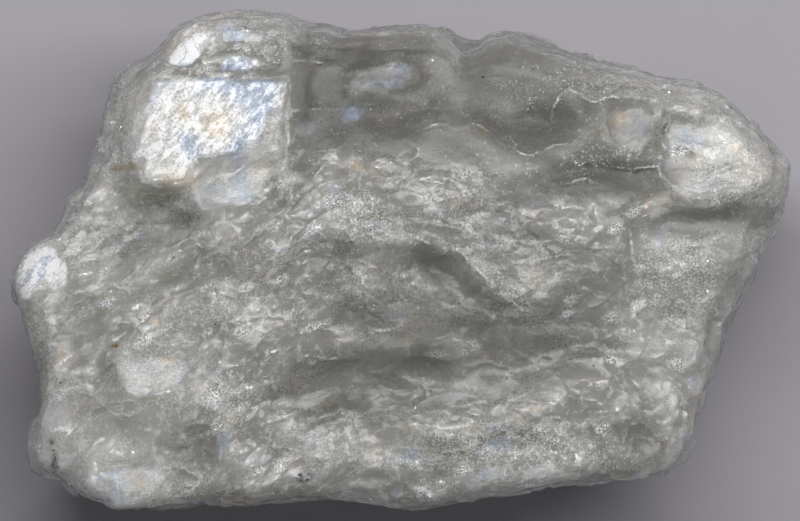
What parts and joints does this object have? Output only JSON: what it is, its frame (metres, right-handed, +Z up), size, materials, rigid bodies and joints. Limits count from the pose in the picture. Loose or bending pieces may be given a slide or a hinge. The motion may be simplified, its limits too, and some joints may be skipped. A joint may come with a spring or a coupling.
{
  "type": "halite crystal lump",
  "caption": "Irregular hand-sized lump of clear grey rock salt with flat cubic cleavage faces and steps, lying on a flat face.",
  "frame": {"origin": "on the resting face, under the middle of the lump's bounding box", "axes": "+X along the lump's length, +Y across its width, +Z up, away from the resting face, with the broad face that shows the largest cleavage pane looking up"},
  "size_m": [0.0978, 0.0624, 0.0412],
  "materials": {
    "halite": "cloudy grey see-through crystal, satin to glossy, with pearly white cleavage faces"
  },
  "bodies": {
    "root": {"halite_lump": "halite"}
  },
  "joints": []
}
